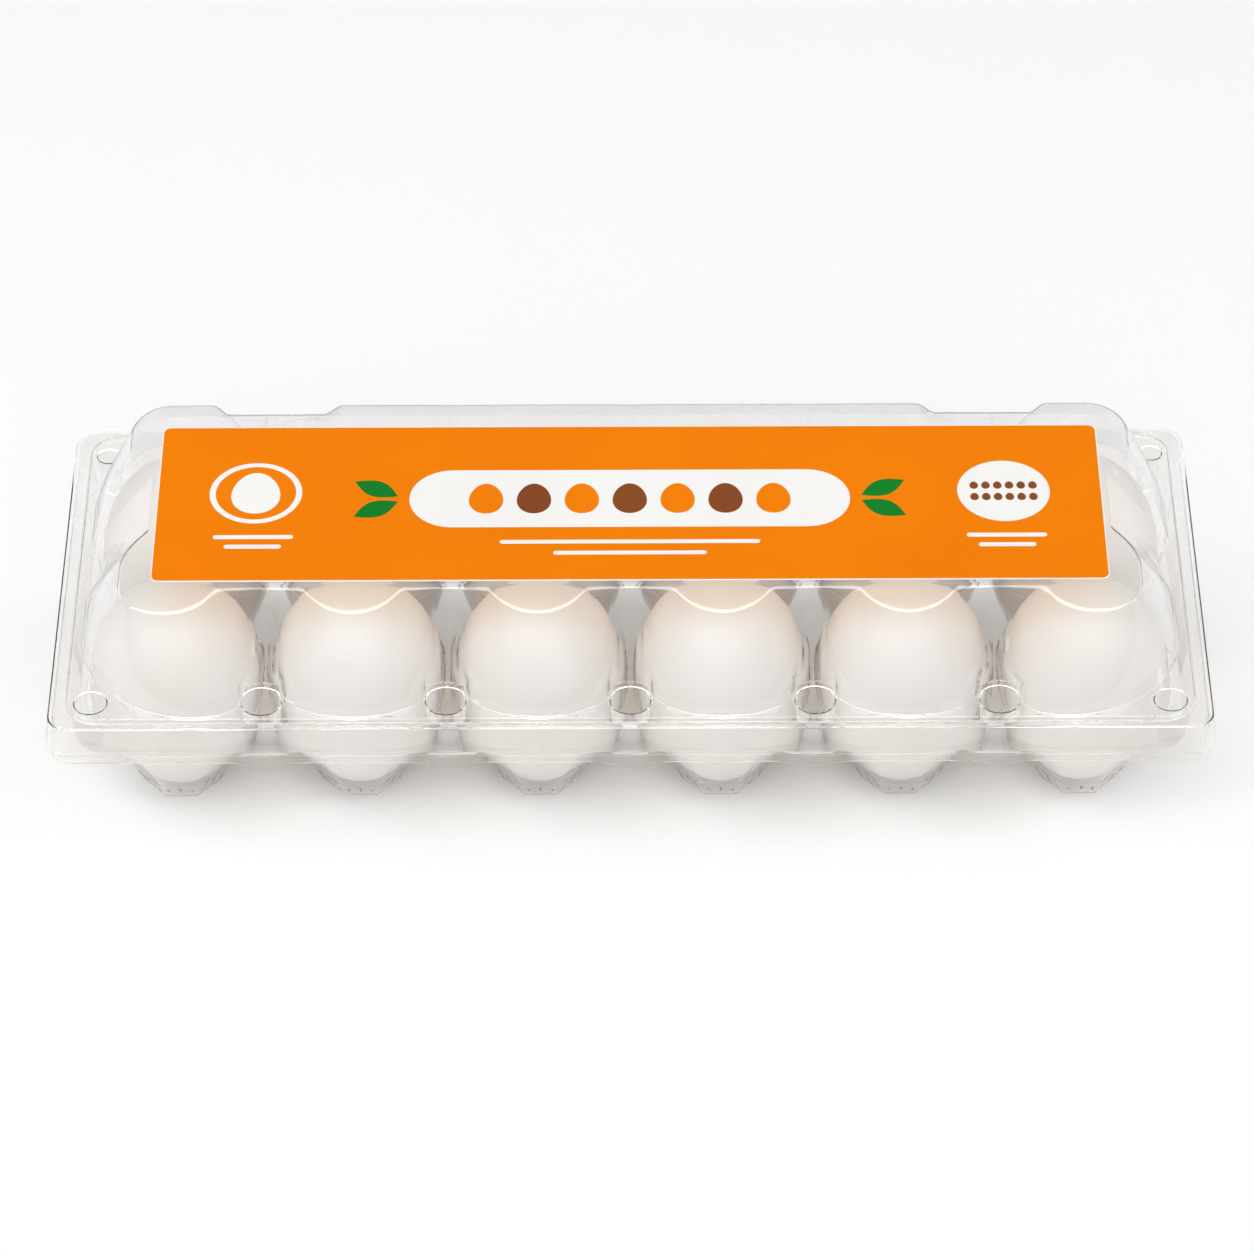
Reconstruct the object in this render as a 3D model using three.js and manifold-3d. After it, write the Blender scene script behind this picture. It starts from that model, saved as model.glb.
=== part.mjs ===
// A clear thermoformed egg carton for two rows of six eggs: a tray of twelve fluted cups, a hinged
// lid with a lobe over each egg, twelve eggs and a printed label on the flat top of the lid.
// Millimetres, +Z up. The origin is on the floor under the middle of the carton, +X runs along the
// rows and the hinge is on the +Y side.
import * as THREE from "three";
import Module from "manifold-3d";

const wasm = await Module();
wasm.setup();

// Driving dimensions
const COLUMNS = 6;
const PITCH = 48; // from egg to egg along a row
const ROW_Y = 24.5; // from the middle to each row
const SHEET = 0.5; // wall thickness of both plastic sheets
const FLANGE = { halfX: 151.3, front: 60, back: 60, radius: 6 };
const TRAY_TOP = 46.9; // top of the tray's flange
const LID_GAP = 0.3; // between the two flanges
const LID_TOP = 74.4; // top of the lid's flat panel

// Tray
const TRAY_FLANGE = { halfX: 150.2, front: 58.9, back: 60, radius: 5 };
const SKIRT = { bottom: 35.5, flare: 0.9 };
const DECK = 36; // top of the deck that the cups hang from
const TUB_TOP = { halfX: 147, front: 57.6, back: 57.6, radius: 9 };
const TUB_BOTTOM = { halfX: 145.3, front: 55.8, back: 55.8, radius: 8 };
const CUP_SIDES = 16;
// height, half width, reach towards the middle, reach towards the rim, squareness and how far the
// octagon's corners stand out
const CUP_RINGS = [
  [0, 12, 10.9, 10.9, 2, 0.04],
  [2.4, 13.2, 12.3, 12.3, 2, 0.04],
  [7, 15.2, 14.6, 14.6, 2, 0.034],
  [16, 20.2, 20.2, 20.4, 2, 0.016],
  [25, 22.6, 22.6, 25.2, 2.3, 0.006],
  [DECK, 23.4, 23.6, 29.4, 2.7, 0],
];
const LUG = { halfWidth: 6, height: 3.1, out: 60.6 };

// Lid
const LID_SKIRT = { bottom: 39, flare: 0.9, backEnd: 50, backEndLow: 40 };
const STEP = { height: 1, inset: { halfX: 4.6, y: 2.9 }, radius: 8 };
const BODY_BASE = { halfX: 144.3, front: 56.4, back: 56.4, radius: 31 };
const PANEL = { halfX: 126, front: 35.1, back: 35.5, radius: 4 };
const LOBE = { half: 12.75, power: 0.85, push: 6.9, backPush: 6, drop: 2.05 };
const LEDGE_HALF_X = 77; // half length of the long ledge on the hinge side
const DOME = { depth: 31.9, halfWidth: 25, power: 2.5, deepest: 13.4 };
const BACK_GROOVE = { depth: 9, inner: 2, outer: 12 };
const END_GROOVE = { depth: 3.3, inner: 1, outer: 13 };
const PANEL_INSET = 1;
const LIP_ROUND = 0.35;
const WALL_LEVELS = [0.5, 0.82];
const WALL_CURVE = 1.25; // above 1 the lobes belly outwards
const STUD = { bottom: 36.9, mouthRadius: 5.9, floorRadius: 4.3, sides: 14, y: 50.2 };
const FRONT_CORNER_STUD = { mouthRadius: 4.7, floorRadius: 3.1, x: 140.3, y: -50.6 };
const BACK_CORNER_STUD = { mouthRadius: 3.4, floorRadius: 2.4, x: 142, y: 48.5 };

// Eggs and label
const EGG = { length: 61, halfWidth: 22.1, taper: 0.12, floor: 0.15, sides: 12, rings: 9 };
const LABEL = { width: 248.8, front: -32.7, back: 29.3, thickness: 0.25, gap: 0.1, radius: 2.2 };

// Stations of the outlines: the straight sides run to SIDE_X and END_Y, and the corners lie between.
// The rim of the flat top has smaller corners, so its straight sides run on to the last egg.
const SIDE_X = 112;
const END_Y = 17;
const LAST_GAP_X = ((COLUMNS - 2) / 2) * PITCH;
const LAST_EGG_X = ((COLUMNS - 1) / 2) * PITCH;
const CORNER_STEPS = 8;

const smooth = (t) => {
  const c = Math.min(1, Math.max(0, t));
  return c * c * (3 - 2 * c);
};
// 1 inside the inner half width, 0 outside the outer one
const bump = (distance, inner, outer) => smooth((outer - Math.abs(distance)) / (outer - inner));

// Where the rows' features lie along X: the eggs and the gaps between them
const eggX = Array.from({ length: COLUMNS }, (_, k) => (k - (COLUMNS - 1) / 2) * PITCH);
const gapX = Array.from({ length: COLUMNS - 1 }, (_, k) => (k - (COLUMNS - 2) / 2) * PITCH);

// Stations along a long side, closer together where the bays and the lobes turn
function sideStations() {
  const found = new Set([-SIDE_X, SIDE_X]);
  const near = (centres, offsets) =>
    centres.forEach((c) => offsets.forEach((o) => Math.abs(c + o) < SIDE_X - 1 && found.add(c + o)));
  near(gapX, [-8, -5, -2, 2, 5, 8]);
  near(eggX, [-12.75, -10, -5.5, 0, 5.5, 10, 12.75]);
  return [...found].sort((a, b) => a - b);
}
const SIDE = sideStations();
const ENDS = [-END_Y, -13, -8.5, -4, 0, 4, 8.5, 13, END_Y];

// Evenly spaced points between the two straight sides round one corner, for the +X, -Y corner
function cornerPoints({ halfX, y, radius, sideX, endY }) {
  const straightX = halfX - radius - sideX;
  const arc = (Math.PI / 2) * radius;
  const straightY = y - radius - endY;
  const total = straightX + arc + straightY;
  const points = [];
  for (let i = 1; i < CORNER_STEPS; i++) {
    const s = (total * i) / CORNER_STEPS;
    if (s < straightX) {
      points.push([sideX + s, -y]);
    } else if (s < straightX + arc) {
      const angle = (s - straightX) / radius;
      points.push([halfX - radius + radius * Math.sin(angle), -y + radius - radius * Math.cos(angle)]);
    } else {
      points.push([halfX, -y + radius + (s - straightX - arc)]);
    }
  }
  return points;
}

// A closed outline seen from above, counter-clockwise from the left end of the front. The pushes
// move the front, the back, the ends and the corners outwards by so many millimetres. toSide and toEnd
// say where along X and Y a station lies.
function outline({ halfX, front, back, radius }, push = {}, toSide = (x) => x, toEnd = (y) => y) {
  const { atFront = () => 0, atBack = () => 0, atEnd = () => 0 } = push;
  const { cornerX = 0, cornerFront = 0, cornerBack = 0 } = push;
  const corner = (y, more) =>
    cornerPoints({
      halfX: halfX + cornerX,
      y: y + more,
      radius: radius + (cornerX + more) / 2,
      sideX: toSide(SIDE_X),
      endY: toEnd(END_Y),
    });
  const frontRight = corner(front, cornerFront);
  const backRight = corner(back, cornerBack);
  const sideX = SIDE.map(toSide);
  const endY = ENDS.map(toEnd);
  const mirrorX = (points) => points.map(([x, y]) => [-x, y]);
  const mirrorY = (points) => points.map(([x, y]) => [x, -y]);
  return [
    ...sideX.map((x) => [x, -front - atFront(x)]),
    ...frontRight,
    ...endY.map((y) => [halfX + atEnd(y), y]),
    ...mirrorY(backRight).reverse(),
    ...[...sideX].reverse().map((x) => [x, back + atBack(x)]),
    ...mirrorX(mirrorY(backRight)),
    ...[...endY].reverse().map((y) => [-halfX - atEnd(y), y]),
    ...mirrorX(frontRight).reverse(),
  ];
}

// A plain rectangle with rounded corners, counter-clockwise from the -X end of the front
function roundedRectangle({ halfX, front, back, radius }, steps = 4) {
  const corners = [
    [halfX - radius, -front + radius, -Math.PI / 2],
    [halfX - radius, back - radius, 0],
    [-halfX + radius, back - radius, Math.PI / 2],
    [-halfX + radius, -front + radius, Math.PI],
  ];
  return corners.flatMap(([x, y, start]) =>
    Array.from({ length: steps + 1 }, (_, i) => {
      const angle = start + (Math.PI / 2) * (i / steps);
      return [x + radius * Math.cos(angle), y + radius * Math.sin(angle)];
    }),
  );
}

// The same outline moved inwards along its own normals
function inset(points, distance) {
  const n = points.length;
  return points.map(([x, y], i) => {
    const [ax, ay] = points[(i + n - 1) % n];
    const [bx, by] = points[(i + 1) % n];
    const length = Math.hypot(bx - ax, by - ay);
    return [x - ((by - ay) / length) * distance, y + ((bx - ax) / length) * distance];
  });
}

const scaleShape = (s, by) => ({
  halfX: s.halfX + by,
  front: s.front + by,
  back: s.back + by,
  radius: Math.max(1, s.radius + by),
});
const atHeight = (points, z) => points.map(([x, y], i) => [x, y, typeof z === "function" ? z(i) : z]);

// A solid through a stack of closed loops with equal numbers of points, counter-clockwise from above,
// lowest first
function loft(loops) {
  const n = loops[0].length;
  const vertices = loops.flat(2);
  const triangles = [];
  for (let k = 0; k + 1 < loops.length; k++) {
    for (let i = 0; i < n; i++) {
      const a = k * n + i;
      const b = k * n + ((i + 1) % n);
      triangles.push(a, b, b + n, a, b + n, a + n);
    }
  }
  const cap = (loop, offset, up) => {
    const flat = loop.map(([x, y]) => new THREE.Vector2(x, y));
    for (const [a, b, c] of THREE.ShapeUtils.triangulateShape(flat, [])) {
      triangles.push(...(up ? [a, b, c] : [a, c, b]).map((v) => v + offset));
    }
  };
  cap(loops[0], 0, false);
  cap(loops.at(-1), (loops.length - 1) * n, true);
  return solidFrom(vertices, triangles);
}

function solidFrom(vertices, triangles) {
  return new wasm.Manifold(
    new wasm.Mesh({
      numProp: 3,
      vertProperties: new Float32Array(vertices),
      triVerts: new Uint32Array(triangles),
    }),
  );
}

function geometryOf(solid) {
  const mesh = solid.getMesh();
  const geometry = new THREE.BufferGeometry();
  geometry.setAttribute("position", new THREE.BufferAttribute(new Float32Array(mesh.vertProperties), 3));
  geometry.setIndex(new THREE.BufferAttribute(new Uint32Array(mesh.triVerts), 1));
  geometry.computeVertexNormals();
  return geometry;
}

const join = (solids) => solids.reduce((a, b) => a.add(b));

// A round or conical plug between two heights
function plug(x, y, [z0, r0], [z1, r1], sides) {
  const ring = (z, r) =>
    Array.from({ length: sides }, (_, i) => {
      const angle = (2 * Math.PI * (i + 0.5)) / sides;
      return [x + r * Math.cos(angle), y + r * Math.sin(angle), z];
    });
  return loft([ring(z0, r0), ring(z1, r1)]);
}

// Tray

// One ring of a cup: a superellipse that reaches further towards the rim, drawn towards an octagon
function cupRing(x, y, [z, halfWidth, inner, outer, square, corner], shrink) {
  const towardsRim = Math.sign(y);
  return Array.from({ length: CUP_SIDES }, (_, i) => {
    const angle = (2 * Math.PI * i) / CUP_SIDES;
    const c = Math.cos(angle);
    const s = Math.sin(angle);
    const reach = s * towardsRim > 0 ? outer : inner;
    const round = (Math.abs(c) ** square + Math.abs(s) ** square) ** (-1 / square);
    const facet = 1 + (i % 2 ? corner : -corner);
    return [x + c * round * facet * (halfWidth - shrink), y + s * round * facet * (reach - shrink), z];
  });
}

function cup(x, y, shrink, rise, top) {
  const rings = CUP_RINGS.map((ring, k) => {
    const [z, ...shape] = ring;
    const last = k === CUP_RINGS.length - 1;
    return cupRing(x, y, [last ? top : z + rise * (1 - k / CUP_RINGS.length), ...shape], shrink);
  });
  return loft(rings);
}

const cellPlaces = [-ROW_Y, ROW_Y].flatMap((y) => eggX.map((x) => [x, y]));

function makeTray() {
  const above = 1;
  const ring = (shape, by, z) => atHeight(roundedRectangle(scaleShape(shape, by)), z);
  const flangePlate = loft([ring(TRAY_FLANGE, 0, TRAY_TOP - SHEET), ring(TRAY_FLANGE, 0, TRAY_TOP)]);
  const tubOuter = loft([ring(TUB_BOTTOM, 0, DECK - SHEET), ring(TUB_TOP, 0, TRAY_TOP)]);
  const tubInner = loft([
    ring(TUB_BOTTOM, -SHEET, DECK),
    ring(TUB_TOP, -SHEET, TRAY_TOP),
    ring(TUB_TOP, -SHEET, TRAY_TOP + above),
  ]);
  const skirt = loft([ring(TRAY_FLANGE, SKIRT.flare, SKIRT.bottom), ring(TRAY_FLANGE, 0, TRAY_TOP)]).subtract(
    loft([
      ring(TRAY_FLANGE, SKIRT.flare - SHEET, SKIRT.bottom - above),
      ring(TRAY_FLANGE, SKIRT.flare - SHEET, SKIRT.bottom),
      ring(TRAY_FLANGE, -SHEET, TRAY_TOP),
      ring(TRAY_FLANGE, -SHEET, TRAY_TOP + above),
    ]),
  );
  const cupsOuter = cellPlaces.map(([x, y]) => cup(x, y, 0, 0, DECK));
  const cupsInner = cellPlaces.map(([x, y]) => cup(x, y, SHEET, SHEET, DECK + above));
  // Small lugs on the front of the skirt, one under each snap stud
  const lugs = gapX.map((x) => {
    const lug = [
      [x - LUG.halfWidth, -LUG.out],
      [x + LUG.halfWidth, -LUG.out],
      [x + LUG.halfWidth, -TRAY_FLANGE.front - SKIRT.flare / 2],
      [x - LUG.halfWidth, -TRAY_FLANGE.front - SKIRT.flare / 2],
    ];
    return loft([atHeight(lug, SKIRT.bottom), atHeight(lug, SKIRT.bottom + LUG.height)]);
  });
  return join([flangePlate, tubOuter, ...cupsOuter])
    .subtract(tubInner)
    .subtract(join(cupsInner))
    .add(skirt)
    .add(join(lugs));
}

// Lid

// A lobe of the flat top's rim: a rounded arch over each egg
const arch = (distance) => Math.max(0, 1 - (distance / LOBE.half) ** 2) ** LOBE.power;
const nearest = (centres, x) => Math.min(...centres.map((c) => Math.abs(x - c)));
const lobesAtFront = (x) => LOBE.push * arch(nearest(eggX, x));
const lobesAtEnd = (y) => LOBE.push * arch(nearest([-ROW_Y, ROW_Y], y));
const lobesAtBack = (x) =>
  LOBE.backPush *
  Math.max(bump(x, LEDGE_HALF_X, LEDGE_HALF_X + 5), smooth((Math.abs(x) - 107) / (SIDE_X - 107)));
const alongRim = (x) =>
  Math.abs(x) <= LAST_GAP_X
    ? x
    : Math.sign(x) *
      (LAST_GAP_X + ((Math.abs(x) - LAST_GAP_X) * (LAST_EGG_X - LAST_GAP_X)) / (SIDE_X - LAST_GAP_X));
const acrossRim = (y) => (y * ROW_Y) / END_Y;

// The foot of the walls: a rounded dome in front of each egg, with a bay for a stud between domes
function baysAtFront(x) {
  const off = Math.abs(x) > LAST_GAP_X
    ? ((SIDE_X - Math.abs(x)) * PITCH) / 2 / (SIDE_X - LAST_GAP_X)
    : nearest(eggX, x);
  const fall = 1 - (1 - (off / DOME.halfWidth) ** DOME.power) ** (1 / DOME.power);
  return -Math.min(DOME.deepest, DOME.depth * fall);
}
const groovesAtBack = (x) =>
  -BACK_GROOVE.depth * bump(nearest(gapX, x), BACK_GROOVE.inner, BACK_GROOVE.outer);
const grooveAtEnd = (y) => -END_GROOVE.depth * bump(y, END_GROOVE.inner, END_GROOVE.outer);

// The rim of the flat top with its lobes, and how far each station is pushed out
function lipOutline() {
  const plain = outline(PANEL, {}, alongRim, acrossRim);
  const push = {
    atFront: lobesAtFront,
    atBack: lobesAtBack,
    atEnd: lobesAtEnd,
    cornerX: LOBE.push,
    cornerFront: LOBE.push,
    cornerBack: LOBE.backPush,
  };
  const pushed = outline(PANEL, push, alongRim, acrossRim);
  return { pushed, push: pushed.map(([x, y], i) => Math.hypot(x - plain[i][0], y - plain[i][1])) };
}

// The lid's body as a solid, from below the flange up to the panel. wall is what is taken off it all
// round for the hollow inside.
function lidBody(bottom, base, wall) {
  const low = outline(BODY_BASE, { atFront: baysAtFront, atBack: groovesAtBack, atEnd: grooveAtEnd });
  const { pushed, push } = lipOutline();
  const lipZ = (i) => LID_TOP - LIP_ROUND - (LOBE.drop * Math.min(push[i], LOBE.push)) / LOBE.push - wall;
  const between = (t) =>
    low.map(([x, y], i) => {
      const h = t ** WALL_CURVE;
      return [x + (pushed[i][0] - x) * h, y + (pushed[i][1] - y) * h];
    });
  const level = (points, z) => atHeight(wall ? inset(points, wall) : points, z);
  const panel = outline(scaleShape(PANEL, -PANEL_INSET), {}, alongRim, acrossRim);
  return loft([
    level(low, bottom),
    level(low, base),
    ...WALL_LEVELS.map((t) => level(between(t), (i) => base + (lipZ(i) + wall - base) * t)),
    level(pushed, lipZ),
    atHeight(panel, LID_TOP - wall),
  ]);
}

const studs = [
  ...gapX.map((x) => [x, -STUD.y, STUD]),
  ...[FRONT_CORNER_STUD, BACK_CORNER_STUD].flatMap((s) => [-1, 1].map((side) => [side * s.x, s.y, s])),
];

function makeLid() {
  const bottom = TRAY_TOP + LID_GAP;
  const deck = bottom + STEP.height + SHEET;
  const below = 1;
  const edge = { ...FLANGE, back: FLANGE.back - 0.1 };
  const step = {
    halfX: FLANGE.halfX - STEP.inset.halfX,
    front: FLANGE.front - STEP.inset.y,
    back: FLANGE.back - STEP.inset.y,
    radius: STEP.radius,
  };
  const ring = (shape, by, z) => atHeight(roundedRectangle(scaleShape(shape, by)), z);
  const plate = loft([ring(edge, 0, bottom), ring(edge, 0, bottom + SHEET)]);
  const stepRise = STEP.height * 0.5;
  const raised = loft([
    ring(step, stepRise, bottom),
    ring(step, stepRise, bottom + SHEET),
    ring(step, 0, deck),
  ]);
  const underStep = loft([
    ring(step, stepRise - SHEET, bottom - below),
    ring(step, stepRise - SHEET, bottom),
    ring(step, -SHEET, deck - SHEET),
  ]);
  const skirt = loft([
    ring(edge, LID_SKIRT.flare, LID_SKIRT.bottom),
    ring(edge, 0, bottom + SHEET),
  ]).subtract(
    loft([
      ring(edge, LID_SKIRT.flare - SHEET, LID_SKIRT.bottom - below),
      ring(edge, LID_SKIRT.flare - SHEET, LID_SKIRT.bottom),
      ring(edge, -SHEET, bottom + SHEET),
      ring(edge, -SHEET, bottom + SHEET + below),
    ]),
  );
  // The skirt runs round the front and both ends only, with slanting ends near the hinge
  const far = FLANGE.halfX + 10;
  const hingeSide = [
    [LID_SKIRT.bottom - below, LID_SKIRT.backEndLow],
    [bottom, LID_SKIRT.backEnd],
  ].map(([z, y]) => [
    [-far, y, z],
    [far, y, z],
    [far, FLANGE.back + 10, z],
    [-far, FLANGE.back + 10, z],
  ]);
  const cone = ([x, y, s], shrink, lowest, highest) =>
    plug(x, y, [lowest, s.floorRadius - shrink], [highest, s.mouthRadius - shrink], STUD.sides);
  const studBodies = join(studs.map((s) => cone(s, 0, STUD.bottom, deck)));
  const studHoles = join(studs.map((s) => cone(s, SHEET, STUD.bottom + SHEET, deck + below)));
  const outer = join([plate, raised, lidBody(bottom, deck, 0)]);
  const hollow = underStep.add(lidBody(bottom - below, deck - SHEET, SHEET));
  return outer
    .subtract(hollow)
    .add(studBodies)
    .subtract(studHoles)
    .add(skirt.subtract(loft(hingeSide)));
}

// Eggs

// A surface of revolution about Z with its blunt end up: the radius is a sine of the angle from the
// top, swelled a little towards the blunt end
function eggGeometry(length, halfWidth) {
  const profile = Array.from({ length: EGG.rings + 1 }, (_, k) => {
    const angle = Math.PI - (Math.PI * k) / EGG.rings;
    const radius = halfWidth * Math.sin(angle) * (1 + EGG.taper * Math.cos(angle));
    const onAxis = k === 0 || k === EGG.rings;
    return new THREE.Vector2(onAxis ? 0 : radius, (length / 2) * Math.cos(angle));
  });
  const geometry = new THREE.LatheGeometry(profile, EGG.sides);
  geometry.rotateX(Math.PI / 2);
  return geometry;
}

// Eggs differ a little in length and width, by a fixed rule
const eggLength = (row, k) => EGG.length + 0.6 * Math.sin(2.4 * k + 1.7 * row);
const eggHalfWidth = (row, k) => EGG.halfWidth + 0.25 * Math.cos(1.9 * k + 2.3 * row);

// Label

function labelGeometry() {
  const shape = new THREE.Shape();
  const { width, front, back, radius } = LABEL;
  const x = width / 2;
  shape.moveTo(-x + radius, front);
  shape.lineTo(x - radius, front);
  shape.absarc(x - radius, front + radius, radius, -Math.PI / 2, 0);
  shape.lineTo(x, back - radius);
  shape.absarc(x - radius, back - radius, radius, 0, Math.PI / 2);
  shape.lineTo(-x + radius, back);
  shape.absarc(-x + radius, back - radius, radius, Math.PI / 2, Math.PI);
  shape.lineTo(-x, front + radius);
  shape.absarc(-x + radius, front + radius, radius, Math.PI, 1.5 * Math.PI);
  return new THREE.ExtrudeGeometry(shape, {
    depth: LABEL.thickness,
    bevelEnabled: false,
    curveSegments: 3,
  });
}

// The carton

const clearPlastic = () =>
  new THREE.MeshStandardMaterial({
    color: 0xf2f5f7,
    roughness: 0.08,
    metalness: 0,
    transparent: true,
    opacity: 0.3,
  });
const shell = new THREE.MeshStandardMaterial({ color: 0xf1ece6, roughness: 0.55, metalness: 0 });
const paper = new THREE.MeshStandardMaterial({ color: 0xf98500, roughness: 0.35, metalness: 0 });

const carton = new THREE.Group();

function addMesh(name, geometry, material, parent = carton) {
  const mesh = new THREE.Mesh(geometry, material);
  mesh.name = name;
  parent.add(mesh);
  return mesh;
}

addMesh("tray", geometryOf(makeTray()), clearPlastic());

["front", "back"].forEach((rowName, row) => {
  eggX.forEach((x, k) => {
    const length = eggLength(row, k);
    const egg = addMesh(`egg_${rowName}_${k + 1}`, eggGeometry(length, eggHalfWidth(row, k)), shell);
    egg.position.set(x, row ? ROW_Y : -ROW_Y, SHEET + EGG.floor + length / 2);
  });
});

const lidGroup = new THREE.Group();
carton.add(lidGroup);
addMesh("lid", geometryOf(makeLid()), clearPlastic(), lidGroup);
addMesh("label", labelGeometry(), paper, lidGroup).position.z = LID_TOP + LABEL.gap;

export default carton;
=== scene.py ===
# %% [markdown]
# # A clear egg carton, worked out as surfaces
# The object is a shop's long carton for two rows of six eggs, pressed from one clear sheet. It has a
# tray with a cup for each egg, a lid with a bulge over each egg, and a printed label on the lid.
# The solids that the physics uses are loaded first and never changed. Each of them is then replaced
# by a finer surface of the same form, because clear plastic shows every facet of a coarse mesh.

# %% Load the fixed frame
import math

import bmesh
import bpy
import numpy as np
from mathutils import Euler, Matrix, Vector
from mathutils.geometry import delaunay_2d_cdt


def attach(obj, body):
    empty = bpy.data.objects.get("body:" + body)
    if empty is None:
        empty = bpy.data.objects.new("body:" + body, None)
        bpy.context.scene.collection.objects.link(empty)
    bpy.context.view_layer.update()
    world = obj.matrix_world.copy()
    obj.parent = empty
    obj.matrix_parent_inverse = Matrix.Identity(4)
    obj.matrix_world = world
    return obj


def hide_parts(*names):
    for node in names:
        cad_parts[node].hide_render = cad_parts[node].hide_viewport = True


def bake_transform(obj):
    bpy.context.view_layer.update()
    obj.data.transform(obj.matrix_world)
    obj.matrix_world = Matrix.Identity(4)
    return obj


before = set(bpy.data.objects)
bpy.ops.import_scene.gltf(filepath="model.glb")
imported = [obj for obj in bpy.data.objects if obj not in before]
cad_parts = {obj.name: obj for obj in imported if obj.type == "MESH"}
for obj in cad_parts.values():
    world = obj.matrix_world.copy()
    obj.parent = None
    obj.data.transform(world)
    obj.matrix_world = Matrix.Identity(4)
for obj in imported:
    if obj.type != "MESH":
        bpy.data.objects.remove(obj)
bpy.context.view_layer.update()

# %% [markdown]
# ## Driving sizes
# Sizes are in millimetres, because they are easier to compare with a ruler, and MM turns them into
# metres where a mesh is made. One could read them from the solids' boxes instead, but named sizes
# make each formula readable. SHEET is the sheet's thickness in the solids, WALL the one made here,
# and LID_GAP the air between the two flanges. SIDE_X and END_Y are where the straight sides of the
# lid's walls end. An outline is a half length, the reaches to front and back, and a corner radius.

# %% Sizes of the carton
MM = 0.001
COLUMNS = 6
PITCH = 48.0
ROW_Y = 24.5
SHEET = 0.5
WALL = 0.45
LID_GAP = 0.3
EGG_X = (np.arange(COLUMNS) - (COLUMNS - 1) / 2) * PITCH
GAP_X = (np.arange(COLUMNS - 1) - (COLUMNS - 2) / 2) * PITCH

TRAY_TOP = 46.9
DECK = 36.0
SKIRT_BOTTOM = 35.5
LID_BOTTOM = TRAY_TOP + LID_GAP
LID_FLANGE = LID_BOTTOM + SHEET
LID_DECK = LID_FLANGE + 1.0
LID_SKIRT_BOTTOM = 39.0
LID_TOP = 74.4
FLARE = 0.9
SIDE_X = 112.0
END_Y = 17.0
LAST_GAP_X = (COLUMNS - 2) / 2 * PITCH
LAST_EGG_X = (COLUMNS - 1) / 2 * PITCH

flange = dict(half_x=151.3, front=60.0, back=59.9, radius=6.0)
step = dict(half_x=146.7, front=57.1, back=57.1, radius=8.0)
tray_flange = dict(half_x=150.2, front=58.9, back=60.0, radius=5.0)
tub_top = dict(half_x=147.0, front=57.6, back=57.6, radius=9.0)
tub_bottom = dict(half_x=145.3, front=55.8, back=55.8, radius=8.0)
lid_base = dict(half_x=144.3, front=56.4, back=56.4, radius=31.0)
panel = dict(half_x=126.0, front=35.1, back=35.5, radius=4.0)
print("eggs along X at", EGG_X, "mm, gaps at", GAP_X, "mm")

# %% [markdown]
# ## Helpers that turn arrays into meshes
# Almost every piece here is a stack of closed rings, one inside or above the next. Two neighbouring
# rings with equal numbers of points make a band of four-sided faces. Flat areas with holes in them are
# filled by a constrained Delaunay triangulation, which keeps the given edges and adds none of its own.
# Everything is computed as whole arrays and put into the mesh in one go, which is quick and exact.

# %% From arrays to a mesh


def smooth(t):
    """The smooth step: 3 t squared minus 2 t cubed, with t held between 0 and 1."""
    c = np.clip(t, 0.0, 1.0)
    return c * c * (3.0 - 2.0 * c)


def bump(distance, inner, outer):
    """1 within the inner half width, 0 beyond the outer one, and a smooth step between them."""
    return smooth((outer - np.abs(distance)) / (outer - inner))


def band_faces(rows, count, first=0):
    """The faces between neighbouring closed rings: point i and i + 1 of one ring, then of the next."""
    i = np.arange(count)
    j = (i + 1) % count
    k = (np.arange(rows - 1) * count + first)[:, None]
    return np.stack([k + i, k + j, k + count + j, k + count + i], axis=-1).reshape(-1, 4)


def round_corners(loops, radii, steps=5):
    """Rounds a profile of rings: each corner ring is swapped for points of a quadratic curve whose
    handle is the corner and whose ends lie the radius away on both sides."""
    made = [loops[0]]
    for before, corner, after, radius in zip(loops, loops[1:], loops[2:], radii):
        if radius == 0:
            made.append(corner)
            continue
        ends = []
        for other in (before, after):
            run = np.linalg.norm(other - corner, axis=1, keepdims=True)
            reach = np.minimum(radius, 0.45 * run)
            ends.append(corner + (other - corner) / np.maximum(run, 1e-9) * reach)
        for s in np.linspace(0, 1, steps + 1):
            made.append((1 - s) ** 2 * ends[0] + 2 * s * (1 - s) * corner + s * s * ends[1])
    made.append(loops[-1])
    return np.array(made)


def inside(points, loop):
    """True where a point lies in a closed loop: it has an odd number of crossings to its right."""
    x, y = points[:, :1], points[:, 1:2]
    x0, y0 = loop[:, 0], loop[:, 1]
    x1, y1 = np.roll(x0, -1), np.roll(y0, -1)
    level = (y0 > y) != (y1 > y)
    rise = np.where(y1 == y0, 1.0, y1 - y0)
    cross = x < (x1 - x0) * (y - y0) / rise + x0
    return (level & cross).sum(axis=1) % 2 == 1


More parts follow.
